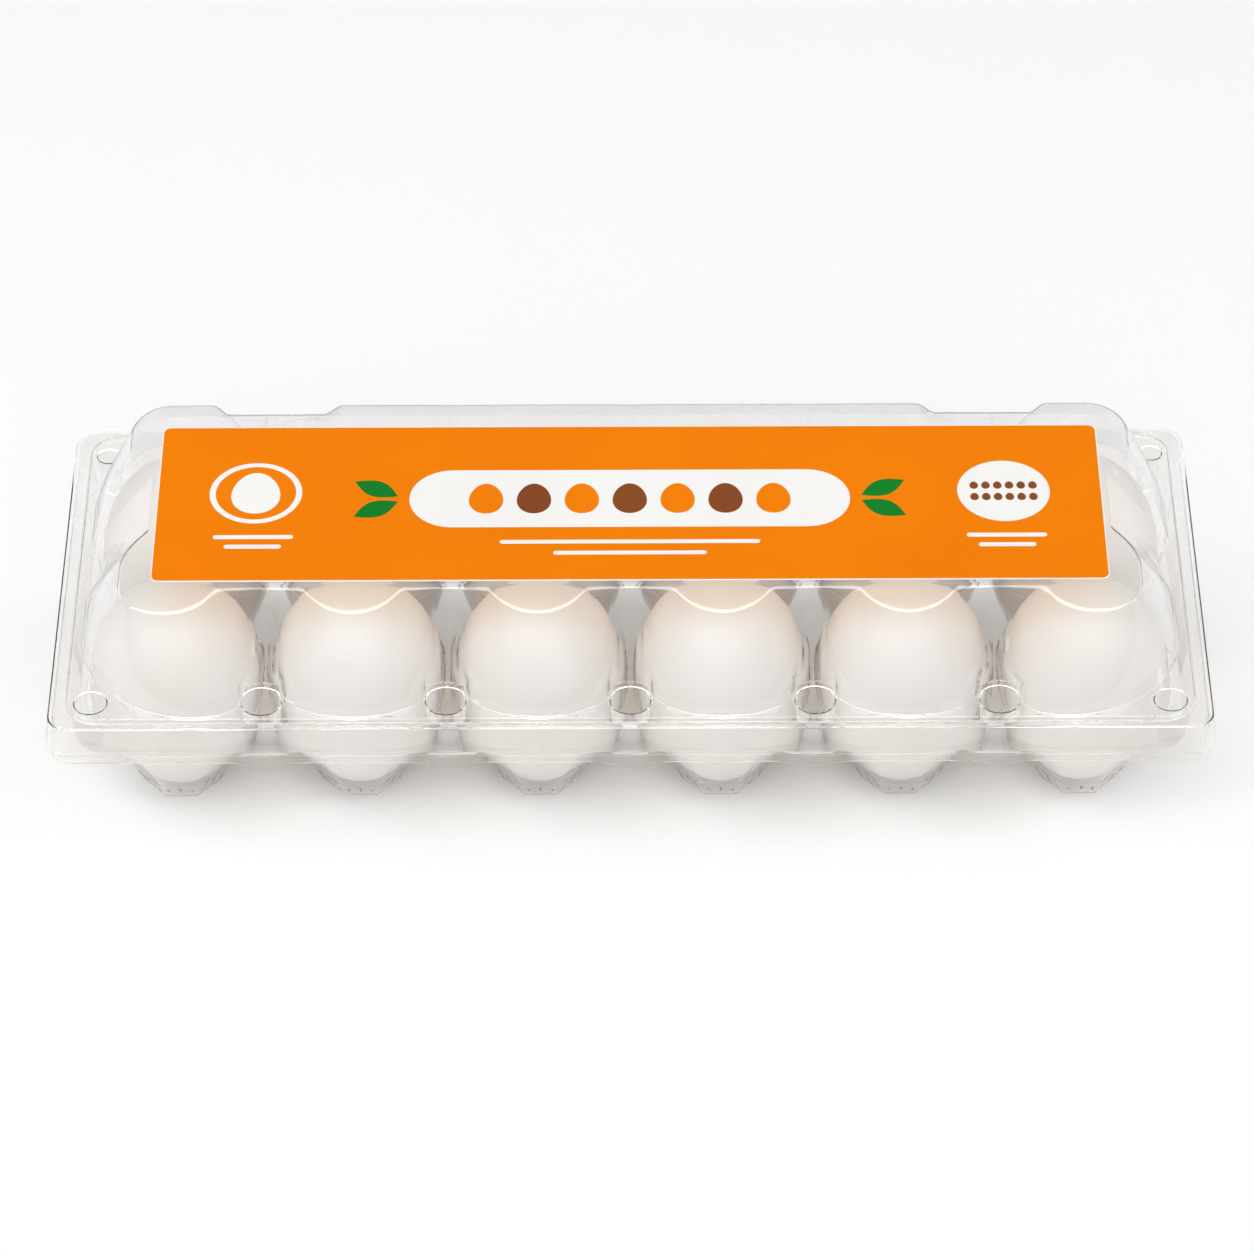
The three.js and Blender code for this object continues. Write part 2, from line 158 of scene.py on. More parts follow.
def fill_flat(outer, holes, z, extra=()):
    """Triangles between an outer loop and its holes in the plane at height z. Extra loops are kept as
    edges too. Returns points, upward triangles and the middle of each triangle."""
    loops = [outer, *holes, *extra]
    flat = np.concatenate([loop[:, :2] for loop in loops])
    starts = np.cumsum([0] + [len(loop) for loop in loops[:-1]])
    edges = [
        (int(start + i), int(start + (i + 1) % len(loop)))
        for start, loop in zip(starts, loops)
        for i in range(len(loop))
    ]
    made = delaunay_2d_cdt([Vector(p) for p in flat], edges, [], 0, 1e-6)
    points = np.array([tuple(p) for p in made[0]])
    triangles = np.array([t for t in made[2] if len(t) == 3])
    a, b, c = (points[triangles[:, k]] for k in range(3))
    turn = (b[:, 0] - a[:, 0]) * (c[:, 1] - a[:, 1]) - (b[:, 1] - a[:, 1]) * (c[:, 0] - a[:, 0])
    triangles[turn < 0] = triangles[turn < 0][:, ::-1]
    middles = (a + b + c) / 3
    keep = inside(middles, outer[:, :2])
    for hole in holes:
        keep &= ~inside(middles, hole[:, :2])
    high = np.column_stack([points, np.full(len(points), z)])
    return high, triangles[keep], middles[keep]


class Surface:
    """A surface that grows part by part: points in millimetres, with faces of three or four corners."""

    def __init__(self):
        self.points, self.faces, self.marks, self.count = [], [], [], 0

    def add(self, points, faces, mark=0):
        self.points.append(np.asarray(points, float).reshape(-1, 3))
        self.faces.append(np.asarray(faces, int) + self.count)
        self.marks.append(np.broadcast_to(mark, len(faces)))
        self.count += len(self.points[-1])

    def add_rings(self, rings, mark=0):
        rows, count, _ = rings.shape
        self.add(rings, band_faces(rows, count), mark)

    def add_cap(self, ring, height, mark=0):
        """A fan from a ring's points to its middle."""
        count = len(ring)
        middle = ring.mean(axis=0)
        middle[2] = height
        i = np.arange(count)
        fan = np.stack([i, (i + 1) % count, np.full(count, count)], axis=-1)
        self.add(np.vstack([ring, middle]), fan, mark)

    def to_object(self, name, materials, weld=0.004):
        """Writes the arrays into a mesh in metres, and merges points closer than weld millimetres."""
        mesh = bpy.data.meshes.new(name)
        points = np.concatenate(self.points) * MM
        sizes = np.concatenate([np.full(len(f), f.shape[1]) for f in self.faces])
        mesh.vertices.add(len(points))
        mesh.vertices.foreach_set("co", points.astype(np.float32).ravel())
        mesh.loops.add(int(sizes.sum()))
        mesh.loops.foreach_set("vertex_index", np.concatenate([f.ravel() for f in self.faces]))
        mesh.polygons.add(len(sizes))
        mesh.polygons.foreach_set("loop_start", np.concatenate([[0], np.cumsum(sizes)[:-1]]))
        mesh.polygons.foreach_set("material_index", np.concatenate(self.marks).astype(np.int32))
        mesh.polygons.foreach_set("use_smooth", np.ones(len(sizes), bool))
        mesh.update(calc_edges=True)
        made = bmesh.new()
        made.from_mesh(mesh)
        bmesh.ops.remove_doubles(made, verts=made.verts, dist=weld * MM)
        made.to_mesh(mesh)
        made.free()
        for material in materials:
            mesh.materials.append(material)
        thing = bpy.data.objects.new(name, mesh)
        bpy.context.scene.collection.objects.link(thing)
        print(name, "has", len(mesh.vertices), "points and", len(mesh.polygons), "faces")
        return thing


print("helpers ready")

# %% [markdown]
# ## Shader groups
# Two effects are used by several finishes, so each is a node group with named sockets. "Fine tooth"
# makes the small unevenness that breaks up a highlight, and "Soft clouds" drifts slowly between two
# colours. Both read Object coordinates, so that a pattern stays fixed on its piece.

# %% Groups shared by the finishes


def new_group(name, inputs, outputs):
    """An empty shader group. Each input is a name, a kind of socket and its value."""
    group = bpy.data.node_groups.new(name, "ShaderNodeTree")
    for label, kind, value in inputs:
        socket = group.interface.new_socket(name=label, in_out="INPUT", socket_type=kind)
        socket.default_value = value
    for label, kind in outputs:
        group.interface.new_socket(name=label, in_out="OUTPUT", socket_type=kind)
    return group, group.nodes.new("NodeGroupInput"), group.nodes.new("NodeGroupOutput")


def make_fine_tooth():
    group, given, out = new_group(
        "Fine tooth",
        [
            ("Scale", "NodeSocketFloat", 900.0),
            ("Height", "NodeSocketFloat", 0.1),
            ("Smoothest", "NodeSocketFloat", 0.3),
            ("Roughest", "NodeSocketFloat", 0.5),
        ],
        [("Roughness", "NodeSocketFloat"), ("Normal", "NodeSocketVector")],
    )
    nodes, links = group.nodes, group.links
    where = nodes.new("ShaderNodeTexCoord")
    fine = nodes.new("ShaderNodeTexNoise")
    fine.inputs["Detail"].default_value = 3.0
    broad = nodes.new("ShaderNodeTexNoise")
    broad.inputs["Scale"].default_value = 45.0
    spread = nodes.new("ShaderNodeMapRange")
    relief = nodes.new("ShaderNodeBump")
    relief.inputs["Distance"].default_value = 0.0002
    links.new(where.outputs["Object"], fine.inputs["Vector"])
    links.new(where.outputs["Object"], broad.inputs["Vector"])
    links.new(given.outputs["Scale"], fine.inputs["Scale"])
    links.new(broad.outputs["Fac"], spread.inputs["Value"])
    links.new(given.outputs["Smoothest"], spread.inputs["To Min"])
    links.new(given.outputs["Roughest"], spread.inputs["To Max"])
    links.new(fine.outputs["Fac"], relief.inputs["Height"])
    links.new(given.outputs["Height"], relief.inputs["Strength"])
    links.new(spread.outputs["Result"], out.inputs["Roughness"])
    links.new(relief.outputs["Normal"], out.inputs["Normal"])
    return group


def make_soft_clouds():
    group, given, out = new_group(
        "Soft clouds",
        [
            ("First", "NodeSocketColor", (0.8, 0.8, 0.8, 1)),
            ("Second", "NodeSocketColor", (0.7, 0.7, 0.7, 1)),
            ("Scale", "NodeSocketFloat", 30.0),
        ],
        [("Colour", "NodeSocketColor")],
    )
    nodes, links = group.nodes, group.links
    where = nodes.new("ShaderNodeTexCoord")
    cloud = nodes.new("ShaderNodeTexNoise")
    cloud.inputs["Detail"].default_value = 2.0
    sharpen = nodes.new("ShaderNodeMapRange")
    sharpen.inputs["From Min"].default_value = 0.35
    sharpen.inputs["From Max"].default_value = 0.65
    blend = nodes.new("ShaderNodeMix")
    blend.data_type = "RGBA"
    links.new(where.outputs["Object"], cloud.inputs["Vector"])
    links.new(given.outputs["Scale"], cloud.inputs["Scale"])
    links.new(cloud.outputs["Fac"], sharpen.inputs["Value"])
    links.new(sharpen.outputs["Result"], blend.inputs["Factor"])
    links.new(given.outputs["First"], blend.inputs[6])
    links.new(given.outputs["Second"], blend.inputs[7])
    links.new(blend.outputs[2], out.inputs["Colour"])
    return group


fine_tooth = make_fine_tooth()
soft_clouds = make_soft_clouds()
print("groups:", fine_tooth.name, "and", soft_clouds.name)

# %% [markdown]
# ## Finishes
# Eggshell is nearly matt and never one flat white, so it drifts between two pale tones and has fine
# pores. The label is smooth printed paper. The sheet is real glass-like plastic with a refractive
# index, thin enough to see through. Shadow rays and diffuse light pass it straight, which keeps the
# eggs bright under the lid and the picture free of grain.

# %% Make the materials


def group_node(tree, group, **values):
    node = tree.nodes.new("ShaderNodeGroup")
    node.node_tree = group
    for name, value in values.items():
        node.inputs[name.replace("_", " ")].default_value = value
    return node


def new_finish(name, tooth, clouds=None, colour=None, **settings):
    """A Principled material with the shared tooth, and either drifting clouds or one colour."""
    material = bpy.data.materials.new(name)
    material.use_nodes = True
    tree = material.node_tree
    shader = tree.nodes["Principled BSDF"]
    surface = group_node(tree, fine_tooth, **tooth)
    tree.links.new(surface.outputs["Roughness"], shader.inputs["Roughness"])
    tree.links.new(surface.outputs["Normal"], shader.inputs["Normal"])
    if clouds:
        tint = group_node(tree, soft_clouds, **clouds)
        tree.links.new(tint.outputs["Colour"], shader.inputs["Base Color"])
    if colour:
        shader.inputs["Base Color"].default_value = colour
    for name_of_socket, value in settings.items():
        shader.inputs[name_of_socket.replace("_", " ")].default_value = value
    return material


def add_straight_way(material, colour, deepest=None):
    """Lets light for matt surfaces and for shadows pass straight through, tinted by a colour. Each kind
    of light has a mix of its own, and the camera sees the first shader of both. Light that has already
    been bent more often than the deepest count goes straight on too, so that no path is cut off."""
    tree = material.node_tree
    path = tree.nodes.new("ShaderNodeLightPath")
    straight = tree.nodes.new("ShaderNodeBsdfTransparent")
    straight.inputs["Color"].default_value = colour
    shown = tree.nodes["Principled BSDF"].outputs["BSDF"]
    kinds = [path.outputs["Is Diffuse Ray"], path.outputs["Is Shadow Ray"]]
    if deepest:
        beyond = tree.nodes.new("ShaderNodeMath")
        beyond.operation = "GREATER_THAN"
        beyond.inputs[1].default_value = deepest
        tree.links.new(path.outputs["Ray Depth"], beyond.inputs[0])
        kinds.insert(0, beyond.outputs["Value"])
    for kind in kinds:
        mix = tree.nodes.new("ShaderNodeMixShader")
        tree.links.new(kind, mix.inputs["Fac"])
        tree.links.new(shown, mix.inputs[1])
        tree.links.new(straight.outputs["BSDF"], mix.inputs[2])
        shown = mix.outputs["Shader"]
    tree.links.new(shown, tree.nodes["Material Output"].inputs["Surface"])
    return material


def make_clear_sheet(name, height, tint):
    """Clear plastic: refraction for what the camera sees, a straight way through for other light."""
    material = new_finish(
        name,
        dict(Scale=70.0, Height=height, Smoothest=0.02, Roughest=0.07),
        colour=tint,
        Transmission_Weight=1.0,
        IOR=1.46,
    )
    return add_straight_way(material, (0.985, 0.984, 0.982, 1), deepest=4)


def printed(name, colour, darker, glow):
    """Printed paper. Some light comes through the label and tints what lies under it."""
    material = new_finish(
        name,
        dict(Scale=2600.0, Height=0.04, Smoothest=0.38, Roughest=0.46),
        clouds=dict(First=colour, Second=darker, Scale=22.0),
        Specular_IOR_Level=0.03,
    )
    return add_straight_way(material, glow)


clear_lid = make_clear_sheet("clear_lid_sheet", 0.2, (0.972, 0.972, 0.971, 1))
clear_tray = make_clear_sheet("clear_tray_sheet", 0.12, (0.972, 0.959, 0.947, 1))
eggshell = new_finish(
    "pale_eggshell",
    dict(Scale=1500.0, Height=0.12, Smoothest=0.42, Roughest=0.56),
    clouds=dict(First=(0.83, 0.805, 0.78, 1), Second=(0.8, 0.765, 0.725, 1), Scale=38.0),
    Specular_IOR_Level=0.2,
)
orange_glow = (1.0, 0.8, 0.62, 1)
white_glow = (0.98, 0.95, 0.92, 1)
orange_print = printed("orange_print", (0.88, 0.215, 0.0005, 1), (0.855, 0.2, 0.0005, 1), orange_glow)
white_print = printed("white_print", (0.9, 0.89, 0.87, 1), (0.87, 0.86, 0.84, 1), white_glow)
green_print = printed("green_print", (0.006, 0.21, 0.022, 1), (0.005, 0.18, 0.018, 1), orange_glow)
brown_print = printed("brown_print", (0.25, 0.072, 0.02, 1), (0.21, 0.058, 0.016, 1), orange_glow)
print("finishes:", [m.name for m in bpy.data.materials])

# %% [markdown]
# ## Outlines
# Two kinds of closed outline are needed. The flanges are plain rectangles with rounded corners. The
# lid's walls follow an outline whose front, back, ends and corners can be pushed in or out by a
# formula, so that one function gives the bulges over the eggs and the bays between them.

# %% Outline functions


def ring_at(points, z):
    """Puts a flat outline at a height, which may differ from point to point."""
    return np.column_stack([points, np.broadcast_to(z, len(points))])


def grow(shape, by):
    """Adds the same distance to every size of an outline, its corner radius too."""
    return {key: value + by for key, value in shape.items()}


def rounded_rectangle(shape, by=0.0, along_x=140, along_y=40, around=16):
    """Four straight runs joined by quarter circles: centre plus radius times cosine and sine. The
    points of a run lie closer together towards its ends, by half a cosine wave."""
    s = grow(shape, by)
    r = s["radius"]
    right, left = s["half_x"] - r, r - s["half_x"]
    low, high = r - s["front"], s["back"] - r
    quarter = np.linspace(0, math.pi / 2, around + 1)
    pieces = []
    ends = [(right, low, -90), (right, high, 0), (left, high, 90), (left, low, 180)]
    for k, (x, y, start) in enumerate(ends):
        angle = math.radians(start) + quarter
        arc = np.column_stack([x + r * np.cos(angle), y + r * np.sin(angle)])
        next_x, next_y, next_start = ends[(k + 1) % 4]
        turn = math.radians(next_start)
        target = np.array([next_x + r * math.cos(turn), next_y + r * math.sin(turn)])
        count = along_y if k % 2 == 0 else along_x
        even = np.linspace(0, 1, count + 1)[1:-1, None]
        share = 0.3 * even + 0.35 * (1 - np.cos(math.pi * even))
        pieces += [arc, arc[-1] + (target - arc[-1]) * share]
    return np.concatenate(pieces)


side = np.linspace(-SIDE_X, SIDE_X, 337)
end = np.linspace(-END_Y, END_Y, 49)
CORNER_STEPS = 24


def corner_points(half_x, y, radius, side_x, end_y):
    """Even steps along a straight run, a quarter circle and a straight run, for the +X, -Y corner."""
    first = half_x - radius - side_x
    arc = math.pi / 2 * radius
    last = y - radius - end_y
    s = (first + arc + last) * np.arange(1, CORNER_STEPS) / CORNER_STEPS
    angle = np.clip((s - first) / radius, 0, math.pi / 2)
    x = half_x - radius + radius * np.sin(angle) + np.minimum(s - first, 0)
    up = -y + radius - radius * np.cos(angle) + np.maximum(s - first - arc, 0)
    return np.column_stack([x, up])


def wall_outline(shape, x=side, y=end, front=0.0, back=0.0, ends=0.0, corner_x=0.0, corner_y=(0, 0)):
    """The outline of the lid's wall, counter-clockwise from the left end of the front. x and y are the
    stations of the straight sides. The pushes are arrays along them, and one value for each corner."""
    corners = [
        corner_points(
            shape["half_x"] + corner_x,
            shape[name] + more,
            shape["radius"] + (corner_x + more) / 2,
            x[-1],
            y[-1],
        )
        for name, more in zip(("front", "back"), corner_y)
    ]
    flip_x, flip_y = np.array([-1, 1]), np.array([1, -1])
    front_side = np.column_stack([x, -shape["front"] - np.broadcast_to(front, x.shape)])
    back_side = np.column_stack([x, shape["back"] + np.broadcast_to(back, x.shape)])
    end_side = np.column_stack([shape["half_x"] + np.broadcast_to(ends, y.shape), y])
    return np.concatenate(
        [
            front_side,
            corners[0],
            end_side,
            (corners[1] * flip_y)[::-1],
            back_side[::-1],
            corners[1] * flip_x * flip_y,
            (end_side * flip_x)[::-1],
            (corners[0] * flip_x)[::-1],
        ]
    )


def move_out(points, distance):
    """Moves each point along the outline's own normal, which is its tangent turned by 90 degrees."""
    tangent = np.roll(points, -1, axis=0) - np.roll(points, 1, axis=0)
    tangent /= np.linalg.norm(tangent, axis=1, keepdims=True)
    return points + np.column_stack([tangent[:, 1], -tangent[:, 0]]) * distance


def nearest(x, centres):
    """The distance from each x to the nearest of several centres."""
    return np.abs(x[:, None] - centres).min(axis=1)


def soft_positive(values, softness):
    """Half of the value plus the root of its square and the softness squared: a rounded corner at 0."""
    return (values + np.sqrt(values**2 + softness**2)) / 2


print("one wall outline has", len(wall_outline(lid_base)), "points")

# %% [markdown]
# ## The lid
# The sheet starts at the lower edge of its rim and runs up and inwards: a short skirt, a flat flange,
# a small step, a flat deck, and then the walls, which bulge over each egg and fall back into a bay at
# each snap stud. It ends in the flat panel under the label. A press cannot make a sharp fold, so each
# corner of this profile is rounded, and those small rounds carry the white lines seen on the real lid.

# %% The lid's rim

CREASE_TOP_X = 142.6
CREASE_LOW_X = 149.0
CREASE_FRONT_Y = -45.0
CREASE_HALF = 0.55
CREASE_DEPTH = 0.6


def crease(points, z):
    """The slanting fold in the skirt near each front corner: e to the power of minus the square of the
    distance from the fold, pressed inwards. It fades out at the top of the skirt."""
    share = np.clip((LID_FLANGE - z) / (LID_FLANGE - LID_SKIRT_BOTTOM), 0, 1)
    middle = CREASE_TOP_X + (CREASE_LOW_X - CREASE_TOP_X) * share
    off = (np.abs(points[:, 0]) - middle) / CREASE_HALF
    bell = np.exp(-(off**2)) * (points[:, 1] < CREASE_FRONT_Y)
    return move_out(points, -CREASE_DEPTH * (bell * smooth(4 * share))[:, None])


def lid_rim():
    """Rings from the skirt's lower edge to the deck. The skirt fades out near the hinge."""
    top = rounded_rectangle(flange)
    fade = smooth((top[:, 1] - 40.0) / 10.0)
    shortest = LID_FLANGE - 0.3
    low = shortest + (LID_SKIRT_BOTTOM - shortest) * (1 - fade)
    flare = rounded_rectangle(flange, FLARE) - top
    loops = []
    for share in np.linspace(1, 0.12, 9):
        z = LID_FLANGE + (low - LID_FLANGE) * share
        drop = (LID_FLANGE - z) / (LID_FLANGE - LID_SKIRT_BOTTOM)
        loops.append(ring_at(crease(top + flare * drop[:, None], z), z))
    radii = [0] * (len(loops) - 1) + [0.8, 0.35, 0.4]
    loops += [
        ring_at(top, LID_FLANGE),
        ring_at(rounded_rectangle(step, 0.5), LID_FLANGE),
        ring_at(rounded_rectangle(step), LID_DECK),
        ring_at(rounded_rectangle(step, -0.9), LID_DECK),
    ]
    return round_corners(loops, radii)


rim = lid_rim()
print("the rim has", len(rim), "rings, its deck lies at", LID_DECK, "mm")

# %% The lid's walls and lip

# The LOBE values shape the edge of the flat top, the DOME values the bulge over an egg, and the BAY
# and COLLAR values the room round a stud. WALL_CURVE bends the wall inwards as it climbs.
WALL_ROWS = 16
WALL_CURVE = 1.25
LOBE_PUSH = 6.9
LOBE_HALF = 12.75
BACK_PUSH = 6.0
DOME_DEPTH = 31.9
DOME_HALF = 25.0
DOME_POWER = 2.5
DOME_FOLDS = np.array([0, 8.67, 14.67, 18.67, 21.33, 22.67, 23.34, DOME_HALF])
BAY_DEPTH = 13.4
COLLAR = 7.1
COLLAR_TOP = 0.28
STUD_Y = 50.2


def along_rim(x):
    """Beyond the last gap the straight side of the rim is stretched, so that it ends at the last egg."""
    stretch = (LAST_EGG_X - LAST_GAP_X) / (SIDE_X - LAST_GAP_X)
    beyond = LAST_GAP_X + (np.abs(x) - LAST_GAP_X) * stretch
    return np.where(np.abs(x) <= LAST_GAP_X, x, np.sign(x) * beyond)


rim_x = along_rim(side)
rim_y = end * ROW_Y / END_Y


def arch(distance):
    """A rounded arch over each egg: a power of one minus the square of the share of its half width."""
    return soft_positive(1 - (distance / LOBE_HALF) ** 2, 0.05) ** 0.85


def lip_outline():
    """The edge of the flat top, pushed out by an arch over each egg."""
    front = LOBE_PUSH * arch(nearest(rim_x, EGG_X))
    ends = LOBE_PUSH * arch(nearest(rim_y, np.array([-ROW_Y, ROW_Y])))
    ledge = np.maximum(bump(rim_x, 77, 82), smooth((np.abs(rim_x) - 107) / 5))
    corner_y = (LOBE_PUSH, BACK_PUSH)
    return wall_outline(panel, rim_x, rim_y, front, BACK_PUSH * ledge, ends, LOBE_PUSH, corner_y)


def plain_rim(by):
    """The edge of the flat top without its lobes, moved out by a distance."""
    return wall_outline(grow(panel, by), rim_x, rim_y)


def dome_fall():
    """How far the front wall falls back beside each egg: a superellipse dome, cut off by the bay. The
    dome is made of upright facets, so the curve is worked out at their folds and straight between."""
    beyond = (SIDE_X - np.abs(side)) * PITCH / 2 / (SIDE_X - LAST_GAP_X)
    off = np.where(np.abs(side) > LAST_GAP_X, beyond, nearest(side, EGG_X))
    fall = 1 - (1 - (DOME_FOLDS / DOME_HALF) ** DOME_POWER) ** (1 / DOME_POWER)
    return np.minimum(BAY_DEPTH, DOME_DEPTH * np.interp(off, DOME_FOLDS, fall))


def collar():
    """A circle round each stud, which the lowest part of the wall keeps clear of."""
    across = np.minimum(nearest(side, GAP_X) / COLLAR, 1)
    circle_back = lid_base["front"] - STUD_Y + COLLAR * np.sqrt(1 - across**2)
    return circle_back * smooth((1 - across) / 0.35)


def base_outline(climbed=0.0):
    """The foot of the walls: domes and bays in front, shallow grooves at the back and the ends. The
    collars fade out over the lowest part of the climb, which is a share of the wall's height."""
    fall = dome_fall()
    round_stud = np.maximum(collar() - fall, 0) * smooth(1 - climbed / COLLAR_TOP)
    grooves = -9.0 * bump(nearest(side, GAP_X), 2, 12)
    return wall_outline(lid_base, side, end, -fall - round_stud, grooves, -3.3 * bump(end, 1, 13))


def lid_walls():
    """Blends from the foot outline to the lip outline with height, by a power of the share climbed."""
    foot, lip = base_outline(), lip_outline()
    push = np.linalg.norm(lip - plain_rim(0), axis=1)
    lip_z = LID_TOP - 0.35 - 2.05 * np.minimum(push, LOBE_PUSH) / LOBE_PUSH
    loops = [ring_at(move_out(foot, 0.7), LID_DECK), ring_at(foot, LID_DECK)]
    for t in np.arange(1, WALL_ROWS) / WALL_ROWS:
        low = base_outline(t)
        flat = low + (lip - low) * t**WALL_CURVE
        loops.append(ring_at(flat, LID_DECK + (lip_z - LID_DECK) * t))
    loops.append(ring_at(lip, lip_z))
    loops.append(ring_at(plain_rim(-1.0), LID_TOP))
    loops.append(ring_at(plain_rim(-2.5), LID_TOP))
    radii = [0.7] + [0] * (WALL_ROWS - 1) + [0.6, 0.7]
    return round_corners(loops, radii)


walls = lid_walls()
print("the walls have", walls.shape[0], "rings of", walls.shape[1], "points")

# %% [markdown]
# The snap studs are small round cups that the press pushes down from the deck, one in each gap along
# the front and one in each corner. Each is a stack of circles that shrink on the way down. Its mouth
# is rounded into the deck, so the deck is filled round it with a hole of the same points.

# %% The snap studs

STUD_FLOOR = 37.4
# each stud is its place along X and Y, the radius of its mouth and the radius of its floor
studs = [(x, -STUD_Y, 5.7, 4.3) for x in GAP_X]
studs += [(sign * 140.3, -50.6, 4.7, 3.1) for sign in (-1, 1)]
studs += [(sign * 142.0, 48.5, 3.4, 2.4) for sign in (-1, 1)]


def circle(x, y, radius, count=48):
    """Centre plus radius times cosine and sine."""
    angle = np.arange(count) * 2 * math.pi / count
    return np.column_stack([x + radius * np.cos(angle), y + radius * np.sin(angle)])


def stud_rings(x, y, mouth, floor):
    """Circles from the mouth in the deck down to the floor, with both corners rounded."""
    loops = [
        ring_at(circle(x, y, mouth), LID_DECK),
        ring_at(circle(x, y, mouth - SHEET), LID_DECK),
        ring_at(circle(x, y, floor - SHEET + 0.35), STUD_FLOOR + 2.6),
        ring_at(circle(x, y, floor - SHEET), STUD_FLOOR),
        ring_at(circle(x, y, 0.55 * floor), STUD_FLOOR),
    ]
    return round_corners(loops, [0.6, 0.0, 0.7], steps=4)


def make_lid():
    """The rim, the walls and the studs, with the deck and the top filled in flat between them."""
    lid = Surface()
    lid.add_rings(rim)
    lid.add_rings(walls)
    mouths = []
    for stud in studs:
        rings = stud_rings(*stud)
        mouths.append(rings[0])
        lid.add_rings(rings)
        lid.add_cap(rings[-1], STUD_FLOOR)
    points, triangles, _ = fill_flat(rim[-1], [walls[0], *mouths], LID_DECK)
    lid.add(points, triangles)
    points, triangles, _ = fill_flat(walls[-1], [], LID_TOP)
    lid.add(points, triangles)
    return lid.to_object("lid_sheet", [clear_lid])


def give_thickness(thing, thickness, sharp=40):
    """Solidify grows the sheet away from its outer face, and edges sharper than the angle stay crisp."""
    solid = thing.modifiers.new("wall thickness", "SOLIDIFY")
    solid.thickness = thickness * MM
    solid.offset = -1
    shown = thing.evaluated_get(bpy.context.evaluated_depsgraph_get())
    mesh = bpy.data.meshes.new_from_object(shown)
    thing.modifiers.clear()
    thing.data = mesh
    mesh.set_sharp_from_angle(angle=math.radians(sharp))
    return thing


lid_sheet = give_thickness(make_lid(), WALL)
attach(lid_sheet, "lid_body")
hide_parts("lid")
print("the lid has", len(lid_sheet.data.polygons), "faces with its thickness")

# %% [markdown]
# ## The tray
# The tray is pressed from the same sheet. Each cup starts as a wide mouth, almost a rectangle, and
# tightens on the way down to an octagon with soft corners that stands on a small flat foot. Fine flutes
# run round the foot. A cup is one function of the angle and the height, used twelve times. It could
# be a loft of a few drawn sections, but a formula gives every ring the same points to join.

# %% One cup

CUP_POINTS = 96
# by height: half width along X, reach towards the carton's middle and towards its rim, the power of
# the superellipse, and how far the octagon's corners stand out
ring_z = np.array([0.0, 2.4, 7.0, 16.0, 25.0, DECK])
half_width = np.array([10.4, 11.6, 13.8, 18.6, 21.8, 23.4])
reach_in = np.array([10.9, 12.3, 14.2, 18.9, 21.9, 23.6])
reach_out = np.array([10.9, 12.3, 14.2, 19.1, 24.0, 29.4])
squareness = np.array([2.0, 2.0, 2.0, 2.0, 2.3, 2.7])
facet = np.array([0.04, 0.04, 0.034, 0.016, 0.006, 0.0])


def through(x, values):
    """A smooth curve through the ring values: cubic pieces with the slope of the neighbours."""
    slopes = np.gradient(values, ring_z)
    k = np.clip(np.searchsorted(ring_z, x) - 1, 0, len(ring_z) - 2)
    run = ring_z[k + 1] - ring_z[k]
    t = (x - ring_z[k]) / run
    keep = (1 + 2 * t) * (1 - t) ** 2 * values[k] + t * t * (3 - 2 * t) * values[k + 1]
    return keep + run * (t * (1 - t) ** 2 * slopes[k] + t * t * (t - 1) * slopes[k + 1])


def cup_ring(x, y, z, wider=0.0, high=None):
    """A closed curve: the superellipse radius at each angle, times an octagon wave, less the flutes."""
    angle = np.arange(CUP_POINTS) * 2 * math.pi / CUP_POINTS
    c, s = np.cos(angle), np.sin(angle)
    power = through(z, squareness)
    reach = np.where(s * np.sign(y) > 0, through(z, reach_out), through(z, reach_in))
    oval = (np.abs(c) ** power + np.abs(s) ** power) ** (-1 / power)
    eighth = math.pi / 4
    flat_side = math.cos(eighth / 2)
    octagon = flat_side / np.cos((angle + eighth / 2) % eighth - eighth / 2)
    wave = (2 * (octagon - flat_side) / (1 - flat_side) - 1) * through(z, facet)
    flutes = 0.45 * np.abs(np.sin(12 * angle)) * bump(z - 4.2, 1.5, 3.6)
    grown = oval * (1 + wave)
    px = x + c * (grown * (through(z, half_width) - SHEET + wider) - flutes)
    py = y + s * (grown * (reach - SHEET + wider) - flutes)
    return np.column_stack([px, py, np.full(CUP_POINTS, z if high is None else high)])


def cup_rings(x, y):
    """A cup's rings from its mouth down, closer together at the foot, and then its raised floor."""
    heights = np.concatenate([np.linspace(DECK, 10, 10), np.linspace(8.6, 0.5, 9)])
    loops = [cup_ring(x, y, DECK, 0.9), *(cup_ring(x, y, z) for z in heights)]
    loops.append(cup_ring(x, y, 0.0, -3.0, SHEET))
    radii = [0.9] + [0] * (len(heights) - 2) + [0.8]
    return round_corners(loops, radii)


sample = cup_rings(24, -ROW_Y)
print("one cup has", len(sample), "rings, its foot spans", np.ptp(sample[-6, :, 0]), "mm")

# %% The tray's sheet

LUG_HALF = 6.0
LUG_OUT = 0.9
LUG_TOP = 38.6


def skirt_ring(share):
    """A ring of the tray's skirt, from its top at 0 to its lower edge at 1, with a lug below each stud."""
    top = rounded_rectangle(tray_flange)
    ring = top + (rounded_rectangle(tray_flange, FLARE) - top) * share
    z = TRAY_TOP + (SKIRT_BOTTOM - TRAY_TOP) * share
    lug = bump(nearest(ring[:, 0], GAP_X), LUG_HALF - 0.6, LUG_HALF + 0.6) * (ring[:, 1] < -55)
    ring[:, 1] -= LUG_OUT * lug * smooth((LUG_TOP - z) / 0.5 + 1)
    return ring_at(ring, z)


